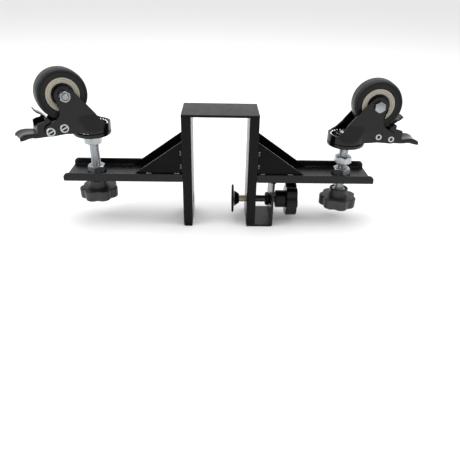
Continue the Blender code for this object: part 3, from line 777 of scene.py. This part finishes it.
def make_rivets(side, local, places):
    """Left: broad heads with a raised bar. Right: small rivets with hollow ends. Each hollow holds a black
    disc of painted shade.
    """
    body = side + "_fork_body"
    outer = PLATE_OUTER + 0.1 * MM
    for name, (x, z) in places.items():
        shank = turned([(2.5 * MM, -outer), (2.5 * MM, outer)], 32)
        if side == "left":
            head = [(4.4 * MM, 0), (4.5 * MM, 0.5 * MM), (4.2 * MM, 1.0 * MM), (3.5 * MM, 1.15 * MM),
                    (3.0 * MM, 0.95 * MM), (2.8 * MM, 0.4 * MM), (0.05 * MM, 0.35 * MM)]
            bar = rounded([(-2.9 * MM, -0.65 * MM, 0.2 * MM), (2.9 * MM, -0.65 * MM, 0.2 * MM),
                           (2.9 * MM, 0.65 * MM, 0.2 * MM), (-2.9 * MM, 0.65 * MM, 0.2 * MM)], 4)
            bar = moved(extruded(bar, 0.3 * MM, 0.95 * MM, "Z"), Matrix.Rotation(math.radians(25), 4, "Z"))
            near = joined([turned(head, 48), bar])
            recess_shade = turned([(2.85 * MM, 0.3 * MM), (2.85 * MM, 0.55 * MM), (0.05 * MM, 0.5 * MM)], 40)
        else:
            head = [(3.1 * MM, 0), (3.2 * MM, 0.3 * MM), (3.0 * MM, 0.75 * MM), (2.4 * MM, 0.95 * MM),
                    (1.7 * MM, 0.7 * MM), (1.45 * MM, 0.2 * MM), (1.4 * MM, -1.2 * MM),
                    (0.05 * MM, -1.25 * MM)]
            near = turned(head, 48)
            recess_shade = turned([(1.48 * MM, -0.6 * MM), (1.48 * MM, 0.1 * MM), (0.05 * MM, 0)], 32)
        recess_shade = moved(recess_shade, shift(0, 0, outer))
        far = turned([(3.2 * MM, 0)] + dome(3.1 * MM, 0.3 * MM, 0.8 * MM), 48)
        near = moved(near, shift(0, 0, outer))
        far = moved(far, UPSIDE_DOWN @ shift(0, 0, outer))
        facing = Matrix.Identity(4) if side == "left" else UPSIDE_DOWN
        piece(f"{side}_{name}_head", moved(joined([shank, near, far]), facing), "zinc", body,
              [f"{side}_{name}"], local @ shift(x, 0, z) @ ALONG_Y, sharp=40)
        # The recess piece is a black disc in the rivet's hollow: painted shade.
        piece(f"{side}_{name}_recess", moved(recess_shade, facing), "seal_black", body,
              at=local @ shift(x, 0, z) @ ALONG_Y)


def make_wheel(side, at):
    body = side + "_wheel"
    tread = rounded([(16.8 * MM, 9.3 * MM, 0.3 * MM), (21.3 * MM, 9.6 * MM, 0.8 * MM),
                     (22.1 * MM, 10.5 * MM, 0.7 * MM), (24.1 * MM, 10.1 * MM, 2.2 * MM),
                     (25.05 * MM, 5.5 * MM, 4 * MM), (25.05 * MM, -5.5 * MM, 4 * MM),
                     (24.1 * MM, -10.1 * MM, 2.2 * MM), (22.1 * MM, -10.5 * MM, 0.7 * MM),
                     (21.3 * MM, -9.6 * MM, 0.8 * MM), (16.8 * MM, -9.3 * MM, 0.3 * MM)], 7)
    piece(side + "_tyre_moulding", turned(tread, 128, bored=True), "tread_rubber", body, [side + "_tyre"], at,
          sharp=50)
    face = [(11.3 * MM, 8.6 * MM), (11.6 * MM, 9.3 * MM), (12.3 * MM, 9.4 * MM), (12.5 * MM, 8.9 * MM),
            (13.1 * MM, 8.9 * MM), (13.3 * MM, 9.5 * MM), (14.3 * MM, 9.6 * MM), (14.5 * MM, 9.0 * MM),
            (15.1 * MM, 9.0 * MM), (15.3 * MM, 9.7 * MM), (16.2 * MM, 9.75 * MM), (16.5 * MM, 9.3 * MM)]
    back = [(radius, -height) for radius, height in reversed(face)]
    inside = [(11.3 * MM, -3 * MM), (9 * MM, -3 * MM), (9 * MM, 3 * MM), (11.3 * MM, 3 * MM)]
    piece(side + "_core_moulding", turned(face + back + inside, 112, bored=True), "core_nylon", body,
          [side + "_wheel_core"], at, sharp=35)
    for name, sign in (("outer", 1), ("inner", -1)):
        high, low = 9.3 * MM, 3.3 * MM
        shield = [(4.1 * MM, high), (5.6 * MM, high),
                  (5.8 * MM, high - 0.5 * MM), (6.3 * MM, high - 0.5 * MM),
                  (6.6 * MM, high - 0.15 * MM), (7.6 * MM, high - 0.15 * MM), (7.9 * MM, high - 0.5 * MM),
                  (8.5 * MM, high - 0.5 * MM), (8.8 * MM, high - 0.1 * MM), (9.7 * MM, high - 0.1 * MM),
                  (9.9 * MM, high - 0.45 * MM), (10.1 * MM, high - 0.45 * MM), (10.2 * MM, high),
                  (10.9 * MM, high), (11 * MM, high - 0.3 * MM), (11 * MM, low), (4.1 * MM, low)]
        profile = [(radius, sign * height) for radius, height in shield]
        piece(f"{side}_{name}_bearing_seal", turned(profile, 96, bored=True), "seal_black", body,
              [f"{side}_{name}_bearing"], at, sharp=35)


def make_axle(side, at):
    """The bolt's head is on the local -Z side and its nut on the +Z side."""
    body = side + "_fork_body"
    outer = PLATE_OUTER + 0.3 * MM
    head = nut(10 * MM, 4 * MM, 0.3 * MM)
    crown = turned([(4.3 * MM, 3.2 * MM)] + dome(4.1 * MM, 3.9 * MM, 0.35 * MM), 48)
    head = moved(joined([head, crown]), UPSIDE_DOWN @ shift(0, 0, outer))
    rod = thread(3 * MM, 1 * MM, -outer, outer + 6.6 * MM, 32)
    piece(side + "_axle_bolt_form", joined([head, rod]), "bolt_zinc", body, [side + "_axle_bolt"], at,
          sharp=40)
    washer = rounded([(3.2 * MM, 0, 0.1 * MM), (5.2 * MM, 0, 0.2 * MM), (5.2 * MM, 0.8 * MM, 0.2 * MM),
                      (3.2 * MM, 0.8 * MM, 0.1 * MM)], 4)
    parts = [moved(nut(10 * MM, 5 * MM, 3.1 * MM), shift(0, 0, outer)),
             moved(turned(washer, 48, bored=True), shift(0, 0, outer - 0.5 * MM))]
    piece(side + "_axle_nut_form", joined(parts), "bolt_zinc", body, [side + "_axle_nut"], at, sharp=40)
    sleeve = rounded([(3.3 * MM, -11.9 * MM, 0.1 * MM), (3.8 * MM, -11.9 * MM, 0.2 * MM),
                      (3.8 * MM, 11.9 * MM, 0.2 * MM), (3.3 * MM, 11.9 * MM, 0.1 * MM)], 3)
    piece(side + "_axle_sleeve_tube", turned(sleeve, 48, bored=True), "bright_steel", body,
          [side + "_axle_sleeve"], at)


def strip_outline(line, thickness):
    """The outline of a bent strip of even thickness along a line of points."""
    points = [Vector(point) for point in line]
    sides = ([], [])
    for i, point in enumerate(points):
        along = (points[min(i + 1, len(points) - 1)] - points[max(i - 1, 0)]).normalized()
        across = Vector((-along.y, along.x)) * thickness / 2
        sides[0].append(tuple(point + across))
        sides[1].append(tuple(point - across))
    return sides[0] + sides[1][::-1]


def pedal_section(x, top, low, half):
    """Half of the pedal's section at x, from the flange's foot over the rounded edge to the dished middle."""
    bend = min(2.2 * MM, (top - low) * 0.8)
    points = [(half, low), (half, (low + top - bend) / 2)]
    points += [(half - bend + bend * math.cos(a), top - bend + bend * math.sin(a))
               for a in (math.pi / 2 * k / 5 for k in range(6))]
    dish = 0.9 * MM
    inner = half - bend
    points += [(inner * s, top - dish * (1 - s * s)) for s in (0.8, 0.6, 0.4, 0.2, 0)]
    return [Vector((x, y, z)) for y, z in points]


def make_lever(side, local, pivot, axle):
    body = side + "_lever"
    cheek = rounded([(-6.2 * MM, -5.0 * MM, 2 * MM), (12.0 * MM, -5.4 * MM, 0.5 * MM),
                     (11.9 * MM, 2.0 * MM, 0.5 * MM), (11.8 * MM, 7.9 * MM, 1.6 * MM),
                     (8.5 * MM, 9.2 * MM, 2 * MM), (3.6 * MM, 10.2 * MM, 1 * MM),
                     (2.8 * MM, 14.2 * MM, 0.4 * MM), (2.0 * MM, 13.6 * MM, 0.2 * MM),
                     (-1.8 * MM, 10.0 * MM, 1 * MM), (-6.2 * MM, 4.0 * MM, 2 * MM)], 6)
    inner = LEVER_HALF - 1.5 * MM
    hinge = local @ shift(pivot.x, 0, pivot.z)
    plates = [extruded(cheek, inner, LEVER_HALF, "Y"), extruded(cheek, -LEVER_HALF, -inner, "Y")]
    wheel = Vector((axle.x - pivot.x, axle.z - pivot.z))
    # The shoe lies across this direction from the axle, just clear of the tread.
    away = Vector((0.698, -0.716))
    tangent = Vector((-away.y, away.x))
    middle = wheel + away * 28.2 * MM
    wall_line = curve_through([(11.9 * MM, -1.8 * MM), (11.3 * MM, 0.8 * MM), (9.0 * MM, 2.6 * MM)], 4)
    wall = strip_outline(wall_line, 1.5 * MM)
    shoe = strip_outline([tuple(middle - tangent * 4.5 * MM), tuple(middle + tangent * 1.0 * MM)], 1.5 * MM)
    plates += [extruded(wall, -LEVER_HALF + 0.3 * MM, LEVER_HALF - 0.3 * MM, "Y"),
               extruded(shoe, -LEVER_HALF + 0.3 * MM, LEVER_HALF - 0.3 * MM, "Y")]
    tab_line = [middle + tangent * 0.2 * MM, middle + tangent * 5.0 * MM + away * 0.1 * MM,
                middle + tangent * 8.0 * MM + away * 0.9 * MM, middle + tangent * 12.3 * MM + away * 0.6 * MM]
    plates.append(extruded(strip_outline(curve_through(tab_line, 5), 1.4 * MM), -TAB_HALF, TAB_HALF, "Y"))
    piece(side + "_lever_cheeks", joined(plates), "black_stamping", body, [side + "_brake_lever"], hinge,
          bevel=BEVEL)
    # Each point is the distance out, the top's height and the height of the flange's foot.
    line = curve_through([(11.2 * MM, -1.2 * MM, -5.5 * MM), (15.0 * MM, -0.7 * MM, -5.3 * MM),
                          (18.5 * MM, -0.2 * MM, -4.7 * MM), (22.0 * MM, -0.1 * MM, -5.1 * MM),
                          (25.5 * MM, -0.7 * MM, -6.0 * MM), (28.2 * MM, -2.0 * MM, -6.5 * MM),
                          (30.2 * MM, -3.4 * MM, -6.7 * MM)], 4)
    slant = 0.075
    rows = []
    for k, (x, top, low) in enumerate(line):
        share = k / (len(line) - 1)
        half = LEVER_HALF - 0.9 * MM * share ** 6
        section = pedal_section(x, top, low, half)
        row = section + [Vector((p.x, -p.y, p.z)) for p in reversed(section[:-1])]
        rows.append([Vector((p.x - slant * p.y * share, p.y, p.z)) for p in row])
    pedal = piece(side + "_lever_pedal", sheet(rows), "black_stamping", body, at=hinge, sharp=180)
    thicken(pedal, 1.4 * MM, 0.4 * MM)
    spring = [(x * MM - pivot.x, z * MM - pivot.z)
              for x, z in ((34.2, 12.8), (35.2, 16), (37.5, 18.6), (39.5, 20))]
    leaf = extruded(strip_outline(curve_through(spring, 4), 0.8 * MM), -8.5 * MM, 8.5 * MM, "Y")
    piece(side + "_spring_leaf", leaf, "bright_steel", side + "_fork_body", [side + "_brake_spring"], hinge,
          bevel=0.15 * MM)


def make_caster(side):
    stem = Vector(JOINTS[side + "_swivel"]["pos_m"])
    axle_point = Vector(JOINTS[side + "_wheel_spin"]["pos_m"])
    pivot_point = Vector(JOINTS[side + "_brake"]["pos_m"])
    across = Vector(JOINTS[side + "_wheel_spin"]["axis"]).normalized()
    up = Vector((0, 0, 1))
    along = across.cross(up)
    local = Matrix((along, across, up)).transposed().to_4x4()
    local.translation = stem
    axle = local.inverted() @ axle_point
    pivot = local.inverted() @ pivot_point
    make_stem(side, local)
    make_races(side, local)
    make_fork(side, local, axle, pivot)
    make_rivets(side, local, {"brake_pivot_rivet": (pivot.x, pivot.z), "fork_rivet": FORK_RIVET})
    spindle = local @ shift(axle.x, 0, axle.z) @ ALONG_Y
    make_wheel(side, spindle)
    make_axle(side, spindle)
    make_lever(side, local, pivot, axle)


# The studio.


def make_studio():
    camera = bpy.data.objects.new("camera", bpy.data.cameras.new("camera"))
    bpy.context.scene.collection.objects.link(camera)
    right = Vector((0.99963, -0.01844, 0.01985))
    down = Vector((0.00827, -0.48994, -0.87172))
    forward = Vector((0.02580, 0.87156, -0.48961))
    turn = Matrix((right, -down, -forward)).transposed().to_4x4()
    turn.translation = (-0.0017, -0.4941, 0.1347)
    camera.matrix_world = turn
    camera.data.sensor_width = 36
    camera.data.lens = 36.98
    camera.data.clip_start = 0.01
    bpy.context.scene.camera = camera

    half = 6.0
    floor_mesh = sheet([[Vector((x, y, FLOOR)) for x in (-half, half)] for y in (-half, half)])
    data = bpy.data.meshes.new("floor")
    floor_mesh.to_mesh(data)
    floor_mesh.free()
    floor = bpy.data.objects.new("floor", data)
    bpy.context.scene.collection.objects.link(floor)
    paint = bpy.data.materials.new("floor_paint")
    paint.use_nodes = True
    shader = paint.node_tree.nodes["Principled BSDF"]
    shader.inputs["Base Color"].default_value = (0.86, 0.86, 0.86, 1)
    shader.inputs["Roughness"].default_value = 0.9
    data.materials.append(paint)

    world = bpy.data.worlds.new("studio")
    bpy.context.scene.world = world
    world.use_nodes = True
    sky = world.node_tree.nodes["Background"]
    sky.inputs["Color"].default_value = (1, 1, 1, 1)
    sky.inputs["Strength"].default_value = 0.92

    def softbox(name, place, size, power, target=(0, 0, -0.05)):
        light = bpy.data.lights.new(name, "AREA")
        light.shape = "RECTANGLE"
        light.size, light.size_y = size
        light.energy = power
        obj = bpy.data.objects.new(name, light)
        obj.location = place
        obj.rotation_euler = (Vector(target) - Vector(place)).to_track_quat("-Z", "Y").to_euler()
        bpy.context.scene.collection.objects.link(obj)

    softbox("top_light", (0, 0.25, 1.3), (1.4, 1.0), 12)
    softbox("left_light", (-1.1, -0.5, 0.9), (0.7, 0.7), 6)
    softbox("right_light", (1.1, -0.3, 0.8), (0.6, 0.8), 4)
    bpy.context.scene.view_settings.view_transform = "Standard"


make_finishes()
make_bridge()
make_foot_plate()
make_clamp_box()
for side, sign in (("left", -1), ("right", 1)):
    make_leg(side, sign)
    make_arm(side, sign)
    for face in (-1, 1):
        make_gusset(side, sign, face)
make_weld_nuts()
make_welds()
make_clamp()
for side in ("left", "right"):
    make_caster(side)
make_studio()
